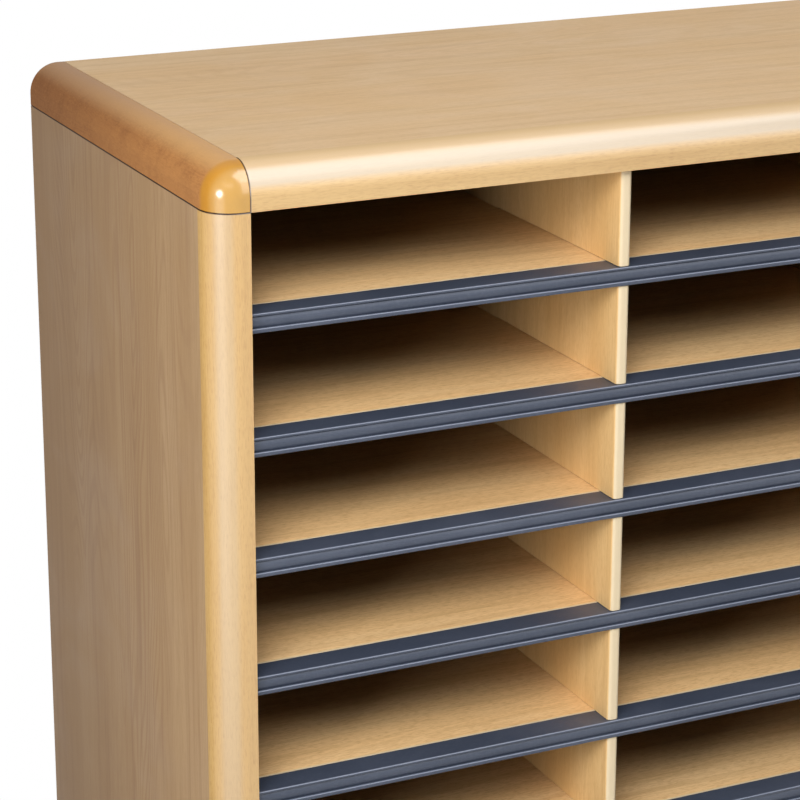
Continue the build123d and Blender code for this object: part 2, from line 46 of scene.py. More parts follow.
# Studio: an aim is a turn left of the front and a rise, in degrees, and a distance; metres and watts
STUDIO_CENTRE = (-0.2, -0.1, 0.5)
KEY_AIM = (32, 36, 2.2)
KEY_SIZE = (1.3, 0.8)
KEY_POWER = 46
OVERHEAD_AIM = (-45, 62, 2.2)
OVERHEAD_SIZE = (1.8, 1.2)
OVERHEAD_POWER = 20
CARD_AIM = (-30, 27, 2.2)
CARD_SIZE = (1.2, 1.7)
CARD_POWER = 13
FILL_AIM = (-142, 25, 2.6)
FILL_SIZE = (1.6, 1.2)
FILL_POWER = 20
SPOT_PLACE = (-1.57, -0.905, 0.756)
SPOT_SIZE = (0.5, 0.5)
SPOT_POWER = 9
STRIP_PLACE = (-1.1, -0.61, 0.28)
STRIP_SIZE = (0.5, 0.54)
STRIP_POWER = 0.6
AMBIENT = 0.05
WHITE = (1, 1, 1, 1)

# Floor: how far its shadow reaches before it fades to white, metres
FLOOR_SIZE = 40.0
FRONT_FADE = 0.65
SIDE_FADE = 0.5
BACK_FADE = 0.2

# Colours, as seen in plain light, 0 to 255
SIDE_PRINT = (163, 130, 90)
SIDE_FIGURE = (137, 101, 67)
SIDE_PALE = (181, 150, 110)
# Painted shade: the side panel is darkened towards the back
SIDE_PAINTED_SHADE = (122, 94, 66)
TOP_PRINT = (200, 166, 121)
TOP_FIGURE = (171, 134, 92)
TOP_PALE = (200, 171, 131)
EDGING = (190, 150, 89)
EDGING_FLECK = (160, 115, 60)
EDGING_PALE = (200, 165, 108)
# Painted highlight: the edgings' rounding is laid paler and greyer
EDGING_PAINTED_HIGHLIGHT = (172, 160, 142)
RAIL = (164, 110, 62)
RAIL_DARK = (130, 82, 46)
RAIL_PALE = (188, 132, 76)
RAIL_PAINTED_SHADE = (112, 70, 40)
RAIL_PAINTED_SHEEN = (200, 152, 84)
BALL_PAINTED_LIGHT = (182, 136, 44)
BALL_PAINTED_SIDE_SHADE = (178, 124, 42)
SHELF = (246, 203, 145)
SHELF_FIGURE = (204, 154, 98)
SHELF_PALE = (248, 214, 162)
DIVIDER = (224, 182, 122)
DIVIDER_FIGURE = (203, 155, 96)
DIVIDER_PALE = (234, 198, 142)
# Cream: the divider's edge band, also used as a painted highlight on the shelf
CREAM_BAND_AND_HIGHLIGHT = (222, 205, 172)
# Hardboard, kept near black and grey where it faces the shaded interior, as painted shade
HARDBOARD_AND_SHADE = (54, 51, 50)
HARDBOARD_AND_SHADE_SPECK = (36, 34, 33)
HARDBOARD_AND_SHADE_PALE = (72, 68, 66)
REAR = (132, 100, 70)
REAR_SPECK = (98, 70, 46)
REAR_PALE = (150, 118, 86)
FIBREBOARD = (176, 136, 92)
FIBREBOARD_SPECK = (122, 86, 52)
FIBREBOARD_PALE = (196, 160, 118)
HARDWOOD = (206, 170, 120)
HARDWOOD_FIGURE = (178, 138, 90)
HARDWOOD_PALE = (218, 186, 140)
# Dark joints, and also painted shade at the moulding's flange
SEAM_AND_SHADE = (56, 34, 16)
MOULDING = (60, 67, 82)
MOULDING_WORN_AND_HIGHLIGHT = (118, 124, 140)
STEEL = (176, 178, 182)
STEEL_DULL = (124, 126, 130)
ZINC = (158, 160, 164)
ZINC_DULL = (104, 106, 112)
NYLON = (62, 60, 58)
NYLON_SCUFF = (92, 90, 86)
FLOOR = (216, 216, 216)

# Plain, dark and pale tone of each board and wood
SIDE_TONES = (SIDE_PRINT, SIDE_FIGURE, SIDE_PALE)
TOP_TONES = (TOP_PRINT, TOP_FIGURE, TOP_PALE)
EDGING_TONES = (EDGING, EDGING_FLECK, EDGING_PALE)
RAIL_TONES = (RAIL, RAIL_DARK, RAIL_PALE)
SHELF_TONES = (SHELF, SHELF_FIGURE, SHELF_PALE)
DIVIDER_TONES = (DIVIDER, DIVIDER_FIGURE, DIVIDER_PALE)
HARDWOOD_TONES = (HARDWOOD, HARDWOOD_FIGURE, HARDWOOD_PALE)
HARDBOARD_AND_SHADE_TONES = (HARDBOARD_AND_SHADE, HARDBOARD_AND_SHADE_SPECK, HARDBOARD_AND_SHADE_PALE)
REAR_TONES = (REAR, REAR_SPECK, REAR_PALE)
FIBREBOARD_TONES = (FIBREBOARD, FIBREBOARD_SPECK, FIBREBOARD_PALE)

# Strength of each part of the grain, wood by wood
PLAIN_GRAIN = {"Figure": 0.4, "Streak": 0.4, "Fibre": 0.4, "Fleck": 0.3, "Tick": 0.3, "Drift": 0.6}
SIDE_GRAIN = PLAIN_GRAIN | {"Streak": 0.5, "Fibre": 0.3, "Fleck": 0.1, "Tick": 0.15}
TOP_GRAIN = PLAIN_GRAIN | {"Figure": 0.15, "Streak": 0.35, "Fibre": 0.3, "Fleck": 0.15}
EDGING_GRAIN = PLAIN_GRAIN | {"Figure": 0.0, "Streak": 0.12, "Fibre": 0.2, "Drift": 0.9}
RAIL_GRAIN = PLAIN_GRAIN | {"Figure": 0.1, "Streak": 0.15, "Fibre": 0.25, "Fleck": 0.1}
SHELF_GRAIN = PLAIN_GRAIN | {"Figure": 0.1, "Streak": 0.35, "Fibre": 0.3, "Fleck": 0.2, "Tick": 0.55}
DIVIDER_GRAIN = PLAIN_GRAIN | {"Figure": 0.1, "Streak": 0.3, "Fibre": 0.3, "Fleck": 0.1, "Tick": 0.35}

# Noises: cells to the metre, along, across and through the grain where there are three
SWAY_NOISE = {"cells": (5, 16, 16)}
FIBRE_NOISE = {"cells": (16, 850, 850), "detail": 3, "roughness": 0.6}
STREAK_NOISE = {"cells": (3.6, 110, 110), "detail": 4, "roughness": 0.62}
HILL_NOISE = {"cells": (2.2, 17, 17), "detail": 1, "roughness": 0.4}
PATCH_NOISE = {"cells": (1.6, 7, 7), "detail": 1}
TICK_NOISE = {"cells": (170, 1300, 1300), "roughness": 0.6}
DRIFT_NOISE = {"cells": (1.8, 20, 20), "detail": 3, "roughness": 0.55}
SMEAR_NOISE = {"cells": 9, "detail": 4, "roughness": 0.6, "distortion": 0.8}
DUST_NOISE = {"cells": 420, "detail": 3, "roughness": 0.7}
CLUMP_NOISE = {"cells": 320, "detail": 4, "roughness": 0.65}
SPECK_NOISE = {"cells": 1100, "roughness": 0.6}
CLOUD_NOISE = {"cells": 55, "detail": 5, "roughness": 0.68}
PORE_NOISE = {"cells": (700, 420, 700), "roughness": 0.6}
DRAWN_NOISE = {"cells": (1.5, 2600, 2600)}
BLOOM_NOISE = {"cells": 260, "detail": 3, "roughness": 0.6}
FLECK_CELLS = (160, 1300, 1300)

# Sway of the grain, metres, and waves in radians: over one hill's height, and to the metre of the screen
NOISE_MIDDLE = 0.5
SWAY_REACH = 0.012
RING_WAVES = 210
SCREEN_WAVES = 2600

# Where a value starts to count, and where it counts in full
RING_RANGE = (-0.3, 1.0)
PATCH_RANGE = (0.42, 0.62)
DASH_RANGE = (0.42, 0.18)
CHOSEN_RANGE = (0.6, 0.85)
DRIFT_RANGE = (0.38, 0.68)
DARK_RANGES = {
    "Figure": (0.0, 1.0),
    "Streak": (0.46, 0.72),
    "Fibre": (0.45, 0.75),
    "Fleck": (0.0, 1.0),
    "Tick": (0.45, 0.7),
}
SMEAR_RANGE = (0.35, 0.75)
DUST_RANGE = (0.45, 0.8)
CLUMP_RANGE = (0.42, 0.68)
SPECK_RANGE = (0.55, 0.75)
CLOUD_RANGE = (0.42, 0.68)
PORE_RANGE = (0.48, 0.7)
BLOOM_RANGE = (0.4, 0.7)

# Axes: to the right, to the back and up
ACROSS, DEPTH, UP = range(3)

# Where a surface starts to look along an axis, and where it looks along it in full
WIDE_FACE = (0.5, 0.8)
UNDERSIDE = (-0.5, -0.8)
CROWN = (0.55, 1.0)
LAND = (0.9, 1.0)
FRONT_GLOSS = (-0.15, -0.6)
ROUNDING = (-0.5, -0.72)
FLAT_FRONT = (-0.92, -0.99)
BALL_FRONT = (-0.3, -0.8)
BALL_GLOSS = (-0.4, -0.7)
LIP_TOP = (0.1, 0.6)

# Strength of a tone that is laid over another
CLUMP_STRENGTH = 0.6
SPECK_STRENGTH = 0.7
CLOUD_STRENGTH = 0.4
PORE_STRENGTH = 0.4
RAIL_PAINTED_SHEEN_STRENGTH = 0.7
RAIL_PAINTED_SHADE_STRENGTH = 0.55
RAIL_PAINTED_SIDE_LIGHT_STRENGTH = 0.35
BALL_PAINTED_LIGHT_STRENGTH = 0.9
POST_PAINTED_HIGHLIGHT = 0.3
NOSING_PAINTED_HIGHLIGHT = 0.7
NOSING_PAINTED_LIGHT_STRENGTH = 0.9
SIDE_PAINTED_SHADE_STRENGTH = 0.65
CREAM_BAND_AND_HIGHLIGHT_STRENGTH = 0.9
SMEAR_STRENGTH = 0.15
DUST_STRENGTH = 0.12
FLANGE_SHADE_STRENGTH = 0.7
JOINT_STRENGTH = 1.0
NOSING_JOINT_STRENGTH = 0.9
RAIL_JOINT_STRENGTH = 0.45

# Gloss, roughness from clean to used, and relief in metres
BOARD_ROUGHNESS = (0.5, 0.4)
BOARD_SPECULAR = 0.1
BOARD_RELIEF = 0.00005
WOOD_ROUGHNESS = (0.46, 0.38)
WOOD_SPECULAR = 0.0
WOOD_RELIEF = 0.00003
COAT_IOR = 2.0
COAT_LEAST = 0.08
EDGING_COAT_ROUGHNESS = 0.3
RAIL_COAT_ROUGHNESS = 0.2
RAIL_CROWN_GLOSS = 0.26
HARDBOARD_ROUGHNESS = (0.55, 0.8)
HARDBOARD_SPECULAR = 0.2
HARDBOARD_RELIEF = 0.00008
PLASTIC_ROUGHNESS = (0.3, 0.42)
PLASTIC_RELIEF = 0.00002
METAL_BLOOM_ROUGHNESS = 0.18
METAL_RELIEF = 0.00003
STAPLE_ROUGHNESS = 0.3
BOLT_ROUGHNESS = 0.25
CAM_ROUGHNESS = 0.42

# Places and widths on the object, metres; the core is a share of a width
TOP_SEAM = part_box("left_corner_rail")[0][UP]
LEFT_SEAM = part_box("top_panel")[0][ACROSS]
RIGHT_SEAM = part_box("top_panel")[1][ACROSS]
RAIL_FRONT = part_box("left_corner_rail")[0][DEPTH]
RAIL_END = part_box("left_corner_rail")[1][DEPTH]
DIVIDER_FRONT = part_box("left_divider")[0][DEPTH]
LIP_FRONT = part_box("label_moulding_1")[0][DEPTH]
FLANGE_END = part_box("label_moulding_1")[1][DEPTH]
BALL_RADIUS = 0.020
BALL_END = RAIL_FRONT + BALL_RADIUS
BALL_BLEND = BALL_RADIUS / 4
SEAM_WIDTH = 0.0008
SEAM_CORE = 0.3
LIP_HIGHLIGHT_WIDTH = 0.0012
FLANGE_SHADE_WIDTH = 0.0012
SHELF_HIGHLIGHT_WIDTH = 0.0018
CREAM_START = 0.0016
CREAM_FULL = 0.0007

# The cut of the grain: how far each board's pattern is moved, metres
PLAIN_CUT = (0, 0, 0)
RIGHT_SIDE_CUT = (0.3, 0.1, 0)
RIGHT_EDGING_CUT = (0.5, 0, 0.2)
RIGHT_RAIL_CUT = (0.4, 0.1, 0)
TOP_CUT = (0.1, 0.6, 0)
BOTTOM_CUT = (0.7, 0.2, 0)
NOSING_CUT = (0.2, 0.3, 0)

# Colour sockets of a Mix node
MIX_FIRST = 6
MIX_SECOND = 7
MIX_RESULT = 2


def linear(colour):
    """A colour of 0 to 255 as the linear colour that a socket takes, by the standard curve."""
    shares = [part / 255 for part in colour]
    return [s / 12.92 if s <= 0.04045 else ((s + 0.055) / 1.055) ** 2.4 for s in shares] + [1]


def put(tree, kind, inputs=None, **settings):
    """A new node: settings are its options, inputs are values, or sockets to join to."""
    node = tree.nodes.new("ShaderNode" + kind)
    for name, value in settings.items():
        setattr(node, name, value)
    for name, value in (inputs or {}).items():
        if isinstance(value, bpy.types.NodeSocket):
            tree.links.new(value, node.inputs[name])
        else:
            node.inputs[name].default_value = value
    return node


def maths(tree, operation, *values):
    """One sum of a tree, as the socket that holds it."""
    return put(tree, "Math", dict(enumerate(values)), operation=operation).outputs[0]


def times(tree, first, second):
    """Two values multiplied."""
    return maths(tree, "MULTIPLY", first, second)


def vector_maths(tree, operation, *vectors):
    """One sum of vectors, as the node that holds it."""
    return put(tree, "VectorMath", dict(enumerate(vectors)), operation=operation)


def steps(tree, value, low, high):
    """A value taken smoothly from 0 at low to 1 at high."""
    inputs = {"Value": value, "From Min": low, "From Max": high}
    return put(tree, "MapRange", inputs, interpolation_type="SMOOTHSTEP").outputs["Result"]


def past(tree, value, level, fade):
    """How many fades a value lies past a level, 0 before it; a negative fade counts downwards."""
    count = maths(tree, "DIVIDE", maths(tree, "SUBTRACT", value, level), fade)
    return maths(tree, "MAXIMUM", count, 0.0)


def noise(tree, vector, cells, detail=2.0, roughness=0.5, distortion=0.0):
    """A noise value, with its own number of cells along each axis where three are given."""
    if isinstance(cells, tuple):
        vector = vector_maths(tree, "MULTIPLY", vector, cells).outputs[0]
        cells = 1
    inputs = {"Vector": vector, "Scale": cells, "Detail": detail}
    inputs |= {"Roughness": roughness, "Distortion": distortion}
    return put(tree, "TexNoise", inputs).outputs["Fac"]


def blended(tree, share, first, second):
    """Two colours mixed by a share, each a colour or a socket."""
    mix = put(tree, "Mix", {"Factor": share}, data_type="RGBA")
    for socket, value in ((mix.inputs[MIX_FIRST], first), (mix.inputs[MIX_SECOND], second)):
        if isinstance(value, bpy.types.NodeSocket):
            tree.links.new(value, socket)
        else:
            socket.default_value = linear(value)
    return mix.outputs[MIX_RESULT]


def laid(tree, tone, colour, mask, strength):
    """A colour laid over a tone where a mask is, at a strength."""
    return blended(tree, times(tree, mask, strength), tone, colour)


def new_group(name, inputs, outputs):
    """An empty node group with its named sockets."""
    group = bpy.data.node_groups.new(name, "ShaderNodeTree")
    for socket, kind in inputs:
        group.interface.new_socket(socket, in_out="INPUT", socket_type="NodeSocket" + kind)
    for socket, kind in outputs:
        group.interface.new_socket(socket, in_out="OUTPUT", socket_type="NodeSocket" + kind)
    given = group.nodes.new("NodeGroupInput").outputs
    result = group.nodes.new("NodeGroupOutput").inputs
    return group, given, result


def wood_grain_group():
    """Grain along X: fibres, long streaks, arched figure, sparse flecks, fine ticks, slow drift."""
    names = ("Fibre", "Streak", "Figure", "Fleck", "Tick", "Drift")
    outputs = [(name, "Float") for name in names]
    group, given, result = new_group("wood_grain", [("Grain", "Vector")], outputs)
    grain = given["Grain"]
    sway = maths(group, "SUBTRACT", noise(group, grain, **SWAY_NOISE), NOISE_MIDDLE)
    shift = times(group, sway, SWAY_REACH)
    offset = put(group, "CombineXYZ", {"Y": shift, "Z": shift}).outputs[0]
    bent = vector_maths(group, "ADD", grain, offset).outputs[0]
    fibre = noise(group, bent, **FIBRE_NOISE)
    streak = noise(group, bent, **STREAK_NOISE)
    hills = noise(group, bent, **HILL_NOISE)
    rings = maths(group, "SINE", times(group, hills, RING_WAVES))
    patch = steps(group, noise(group, grain, **PATCH_NOISE), *PATCH_RANGE)
    figure = times(group, steps(group, rings, *RING_RANGE), patch)
    spread = vector_maths(group, "MULTIPLY", bent, FLECK_CELLS).outputs[0]
    cells = put(group, "TexVoronoi", {"Vector": spread, "Scale": 1})
    chosen = put(group, "SeparateColor", {"Color": cells.outputs["Color"]}).outputs[0]
    dash = steps(group, cells.outputs["Distance"], *DASH_RANGE)
    fleck = times(group, dash, steps(group, chosen, *CHOSEN_RANGE))
    tick = noise(group, bent, **TICK_NOISE)
    drift = noise(group, bent, **DRIFT_NOISE)
    for name, value in zip(names, (fibre, streak, figure, fleck, tick, drift)):
        group.links.new(value, result[name])
    return group


def handling_group():
    """Marks of use: faint smears and fine dust, from 0 to 1."""
    outputs = [("Smear", "Float"), ("Dust", "Float")]
    group, given, result = new_group("handling", [("Place", "Vector")], outputs)
    smear = steps(group, noise(group, given["Place"], **SMEAR_NOISE), *SMEAR_RANGE)
    dust = steps(group, noise(group, given["Place"], **DUST_NOISE), *DUST_RANGE)
    group.links.new(smear, result["Smear"])
    group.links.new(dust, result["Dust"])
    return group


wood_grain = wood_grain_group()
handling = handling_group()


def new_material(name):
    """An empty material with its shader, and the coordinates of its piece."""
    material = bpy.data.materials.new(name)
    material.use_nodes = True
    tree = material.node_tree
    tree.nodes.clear()
    shader = put(tree, "BsdfPrincipled")
    put(tree, "OutputMaterial", {"Surface": shader.outputs[0]})
    place = put(tree, "TexCoord").outputs["Object"]
    return material, tree, shader, place


def use_group(tree, group, inputs):
    """A node group placed in a material."""
    node = put(tree, "Group", node_tree=group)
    for name, value in inputs.items():
        tree.links.new(value, node.inputs[name])
    return node.outputs


def along(tree, place, axis, cut):
    """Coordinates turned so that X runs along the grain, and moved to the board's own cut."""
    turns = {"X": (0, 0, 0), "Y": (0, 0, radians(-90)), "Z": (0, radians(90), 0)}
    inputs = {"Vector": place, "Rotation": turns[axis], "Location": cut}
    return put(tree, "Mapping", inputs).outputs[0]


def bumped(tree, shader, height, distance):
    """A relief that follows a height, in metres."""
    bump = put(tree, "Bump", {"Height": height, "Distance": distance, "Strength": 1.0})
    tree.links.new(bump.outputs[0], shader.inputs["Normal"])


def roughened(tree, shader, value, clean, used):
    """Roughness that follows a value between two limits."""
    inputs = {"Value": value, "To Min": clean, "To Max": used}
    tree.links.new(put(tree, "MapRange", inputs).outputs["Result"], shader.inputs["Roughness"])


def coordinate(tree, place, axis):
    """One coordinate of a place."""
    return put(tree, "SeparateXYZ", {0: place}).outputs[axis]


def near(tree, place, axis, level, width):
    """1 on a plane across an axis, falling to 0 at a width from it."""
    apart = maths(tree, "SUBTRACT", coordinate(tree, place, axis), level)
    return steps(tree, maths(tree, "ABSOLUTE", apart), width, width * SEAM_CORE)


def faced(tree, axis, low, high):
    """1 where the surface looks along an axis, from low to high of its share."""
    normal = put(tree, "NewGeometry").outputs["Normal"]
    return steps(tree, coordinate(tree, normal, axis), low, high)


def sideways(tree, low, high):
    """1 where the surface looks to the left or to the right."""
    return maths(tree, "ADD", faced(tree, ACROSS, low, high), faced(tree, ACROSS, -low, -high))


def side_faces(tree):
    """1 on both wide faces of an upright board."""
    return sideways(tree, *WIDE_FACE)


def upper_face(tree):
    """1 on the upper face of a level board."""
    return faced(tree, UP, *WIDE_FACE)


def towards_back(tree, place):
    """0 behind the ball of the corner rail, rising to 1 at the rail's end."""
    return steps(tree, coordinate(tree, place, DEPTH), BALL_END, RAIL_END)


def wood_tone(tree, grain, tones, strengths):
    """Colour of a wood face: plain tone, paler drift, and the grain's dark parts over it."""
    plain, dark, pale = tones
    tone = laid(tree, plain, pale, steps(tree, grain["Drift"], *DRIFT_RANGE), strengths["Drift"])
    for part, limits in DARK_RANGES.items():
        tone = laid(tree, tone, dark, steps(tree, grain[part], *limits), strengths[part])
    return tone


def board_core(tree, place, tones):
    """Colour of pressed fibres: specks and paler clumps."""
    plain, speck, pale = tones
    clumps = steps(tree, noise(tree, place, **CLUMP_NOISE), *CLUMP_RANGE)
    tone = laid(tree, plain, pale, clumps, CLUMP_STRENGTH)
    specks = steps(tree, noise(tree, place, **SPECK_NOISE), *SPECK_RANGE)
    return laid(tree, tone, speck, specks, SPECK_STRENGTH)


def painted_shade_and_rail_joint(tree, place, tone):
    """The side darkened towards the back as painted shade, and the dark line under the corner rail."""
    tone = laid(tree, tone, SIDE_PAINTED_SHADE, towards_back(tree, place), SIDE_PAINTED_SHADE_STRENGTH)
    return blended(tree, near(tree, place, UP, TOP_SEAM, SEAM_WIDTH), tone, SEAM_AND_SHADE)


def cream_edge(tree, place, tone):
    """The divider's rounded front edge, with a pale band."""
    depth = coordinate(tree, place, DEPTH)
    band = steps(tree, depth, DIVIDER_FRONT + CREAM_START, DIVIDER_FRONT + CREAM_FULL)
    return laid(tree, tone, CREAM_BAND_AND_HIGHLIGHT, band, CREAM_BAND_AND_HIGHLIGHT_STRENGTH)


def shelf_edge(tree, place, tone):
    """The shelf's face, with a painted highlight where it meets the moulding."""
    painted_highlight = near(tree, place, DEPTH, FLANGE_END, SHELF_HIGHLIGHT_WIDTH)
    return laid(tree, tone, CREAM_BAND_AND_HIGHLIGHT, painted_highlight, CREAM_BAND_AND_HIGHLIGHT_STRENGTH)


def printed_board(name, axis, tones, grains, printed, cut, edge=None, backed=False):
    """Wood-print board: print where a mask says, pressed fibres elsewhere, a dark sheet below kept near
    black as painted shade.
    """
    material, tree, shader, place = new_material(name)
    grain = use_group(tree, wood_grain, {"Grain": along(tree, place, axis, cut)})
    marks = use_group(tree, handling, {"Place": place})
    mask = printed(tree)
    core = board_core(tree, place, FIBREBOARD_TONES)
    tone = blended(tree, mask, core, wood_tone(tree, grain, tones, grains))
    if backed:
        # Painted shade: a near-black backing sheet on the undersides
        shade_sheet = board_core(tree, place, HARDBOARD_AND_SHADE_TONES)
        tone = blended(tree, faced(tree, UP, *UNDERSIDE), tone, shade_sheet)
    if edge:
        tone = edge(tree, place, tone)
    tree.links.new(tone, shader.inputs["Base Color"])
    roughened(tree, shader, times(tree, marks["Smear"], mask), *BOARD_ROUGHNESS)
    shader.inputs["Specular IOR Level"].default_value = BOARD_SPECULAR
    bumped(tree, shader, grain["Fibre"], BOARD_RELIEF)
    return material


def highlighted_rounding(tree, tone, highlight_strength):
    """A tone painted paler on the rounding in front as a highlight, but not on the flat front."""
    level = maths(tree, "SUBTRACT", 1.0, faced(tree, DEPTH, *FLAT_FRONT))
    rounding = times(tree, faced(tree, DEPTH, *ROUNDING), level)
    return laid(tree, tone, EDGING_PAINTED_HIGHLIGHT, rounding, highlight_strength)


def post_look(tree, place, tone):
    """Tone and gloss of an upright edging: glossy in front, with a faint painted highlight on its
    rounding.
    """
    return highlighted_rounding(tree, tone, POST_PAINTED_HIGHLIGHT), faced(tree, DEPTH, *FRONT_GLOSS)


def nosing_look(tree, place, tone):
    """Tone and gloss of the top's edging: a strong painted highlight on its rounding, and painted light
    on its upward face, pale as the top above.
    """
    tone = highlighted_rounding(tree, tone, NOSING_PAINTED_HIGHLIGHT)
    # Painted light: the upward face is laid pale as the top
    tone = laid(tree, tone, TOP_PALE, faced(tree, UP, *CROWN), NOSING_PAINTED_LIGHT_STRENGTH)
    return tone, faced(tree, DEPTH, *FRONT_GLOSS)


def rail_look(tree, place, tone):
    """Tone and gloss of a corner rail: cloudy wood with painted sheen above, painted shade behind,
    painted light on its side faces, and a ball in front painted lighter.
    """
    clouds = steps(tree, noise(tree, place, **CLOUD_NOISE), *CLOUD_RANGE)
    tone = laid(tree, tone, RAIL_DARK, clouds, CLOUD_STRENGTH)
    pores = steps(tree, noise(tree, place, **PORE_NOISE), *PORE_RANGE)
    tone = laid(tree, tone, RAIL_PALE, pores, PORE_STRENGTH)
    # Painted sheen: the rail's upward face is laid paler; the same mask also raises the coat
    crown = faced(tree, UP, *CROWN)
    tone = laid(tree, tone, RAIL_PAINTED_SHEEN, crown, RAIL_PAINTED_SHEEN_STRENGTH)
    # Painted shade: the rail is darkened towards the back
    painted_shade_rear = towards_back(tree, place)
    tone = laid(tree, tone, RAIL_PAINTED_SHADE, painted_shade_rear, RAIL_PAINTED_SHADE_STRENGTH)
    # Painted light: the rail's side faces are laid paler, fading out towards the back
    painted_side_light = times(tree, sideways(tree, *LAND), maths(tree, "SUBTRACT", 1.0, painted_shade_rear))
    tone = laid(tree, tone, RAIL_PALE, painted_side_light, RAIL_PAINTED_SIDE_LIGHT_STRENGTH)
    # Painted light: the ball is laid lighter in front, with painted shade on its sides
    ball = steps(tree, coordinate(tree, place, DEPTH), BALL_END, BALL_END - BALL_BLEND)
    painted_lit_ball = blended(tree, faced(tree, DEPTH, *BALL_FRONT), BALL_PAINTED_SIDE_SHADE, BALL_PAINTED_LIGHT)
    tone = laid(tree, tone, painted_lit_ball, ball, BALL_PAINTED_LIGHT_STRENGTH)
    shine = times(tree, ball, faced(tree, DEPTH, *BALL_GLOSS))
    return tone, maths(tree, "MAXIMUM", shine, times(tree, crown, RAIL_CROWN_GLOSS))


def lacquered(name, axis, tones, grains, look, cut, seams=(), coat_roughness=EDGING_COAT_ROUGHNESS):
    """Solid wood under clear lacquer, darkened in its joints."""
    material, tree, shader, place = new_material(name)
    grain = use_group(tree, wood_grain, {"Grain": along(tree, place, axis, cut)})
    marks = use_group(tree, handling, {"Place": place})
    tone, gloss = look(tree, place, wood_tone(tree, grain, tones, grains))
    for seam_axis, level, strength in seams:
        tone = laid(tree, tone, SEAM_AND_SHADE, near(tree, place, seam_axis, level, SEAM_WIDTH), strength)
    tree.links.new(tone, shader.inputs["Base Color"])
    coat = put(tree, "MapRange", {"Value": gloss, "To Min": COAT_LEAST, "To Max": 1.0})
    tree.links.new(coat.outputs["Result"], shader.inputs["Coat Weight"])
    roughened(tree, shader, marks["Smear"], *WOOD_ROUGHNESS)
    shader.inputs["Specular IOR Level"].default_value = WOOD_SPECULAR
    shader.inputs["Coat IOR"].default_value = COAT_IOR
    shader.inputs["Coat Roughness"].default_value = coat_roughness
    bumped(tree, shader, grain["Fibre"], WOOD_RELIEF)
    return material


def hardboard(name):
    """Pressed board: dark and smooth in front, kept near black there as painted shade, brown with the
    mark of a wire screen behind.
    """
    material, tree, shader, place = new_material(name)
    marks = use_group(tree, handling, {"Place": place})
    behind = faced(tree, DEPTH, *WIDE_FACE)
    inner = board_core(tree, place, HARDBOARD_AND_SHADE_TONES)
    tone = blended(tree, behind, inner, board_core(tree, place, REAR_TONES))
    tree.links.new(tone, shader.inputs["Base Color"])
    roughened(tree, shader, marks["Dust"], *HARDBOARD_ROUGHNESS)
    shader.inputs["Specular IOR Level"].default_value = HARDBOARD_SPECULAR
    waves = []
    for axis in (ACROSS, UP):
        waves.append(maths(tree, "SINE", times(tree, coordinate(tree, place, axis), SCREEN_WAVES)))
    bumped(tree, shader, times(tree, maths(tree, "ADD", *waves), behind), HARDBOARD_RELIEF)
    return material


def plastic(name, body, worn_and_highlight):
    """Extruded plastic: drawn lines along X, lips painted paler as a highlight, and painted shade behind
    its flange.
    """
    material, tree, shader, place = new_material(name)
    marks = use_group(tree, handling, {"Place": place})
    drawn = noise(tree, place, **DRAWN_NOISE)
    tone = laid(tree, body, worn_and_highlight, marks["Smear"], SMEAR_STRENGTH)
    lip_highlight = near(tree, place, DEPTH, LIP_FRONT, LIP_HIGHLIGHT_WIDTH)
    # Painted highlight: the lips' upward faces are laid pale; the same colour also marks real smears and
    # dust
    tone = blended(tree, times(tree, lip_highlight, faced(tree, UP, *LIP_TOP)), tone, worn_and_highlight)
    # Painted shade: a dark line at the flange's rear edge
    tone = laid(tree, tone, SEAM_AND_SHADE, near(tree, place, DEPTH, FLANGE_END, FLANGE_SHADE_WIDTH), FLANGE_SHADE_STRENGTH)
    tone = laid(tree, tone, worn_and_highlight, marks["Dust"], DUST_STRENGTH)
    tree.links.new(tone, shader.inputs["Base Color"])
    roughened(tree, shader, drawn, *PLASTIC_ROUGHNESS)
    bumped(tree, shader, drawn, PLASTIC_RELIEF)
    return material


def metal(name, bright, dull, roughness):
    """Plated or cast metal with a dull bloom."""
    material, tree, shader, place = new_material(name)
    marks = use_group(tree, handling, {"Place": place})
    bloom = steps(tree, noise(tree, place, **BLOOM_NOISE), *BLOOM_RANGE)
    tree.links.new(blended(tree, bloom, bright, dull), shader.inputs["Base Color"])
    shader.inputs["Metallic"].default_value = 1.0
    roughened(tree, shader, marks["Dust"], roughness, roughness + METAL_BLOOM_ROUGHNESS)
    bumped(tree, shader, bloom, METAL_RELIEF)
    return material


# Finishes of the case, each board with its own cut of the grain
top_joint = (UP, TOP_SEAM, JOINT_STRENGTH)
nosing_joints = [(ACROSS, seam, NOSING_JOINT_STRENGTH) for seam in (LEFT_SEAM, RIGHT_SEAM)]
finishes = {
    "top_panel": printed_board(
        "top_laminate", "X", TOP_TONES, TOP_GRAIN, upper_face, TOP_CUT, backed=True
    ),
    "bottom_panel": printed_board(
        "bottom_laminate", "X", SHELF_TONES, SHELF_GRAIN, upper_face, BOTTOM_CUT, backed=True
    ),
    "top_front_edging": lacquered(
        "top_edging_wood", "X", EDGING_TONES, EDGING_GRAIN, nosing_look, NOSING_CUT, nosing_joints
    ),
    "back_panel": hardboard("back_hardboard"),
    "back_staples": metal("staple_steel", STEEL, STEEL_DULL, STAPLE_ROUGHNESS),
    "cam_bolts": metal("bolt_steel", STEEL, STEEL_DULL, BOLT_ROUGHNESS),
    "cam_locks": metal("cam_zinc", ZINC, ZINC_DULL, CAM_ROUGHNESS),
    "glides": plastic("glide_nylon", NYLON, NYLON_SCUFF),
}
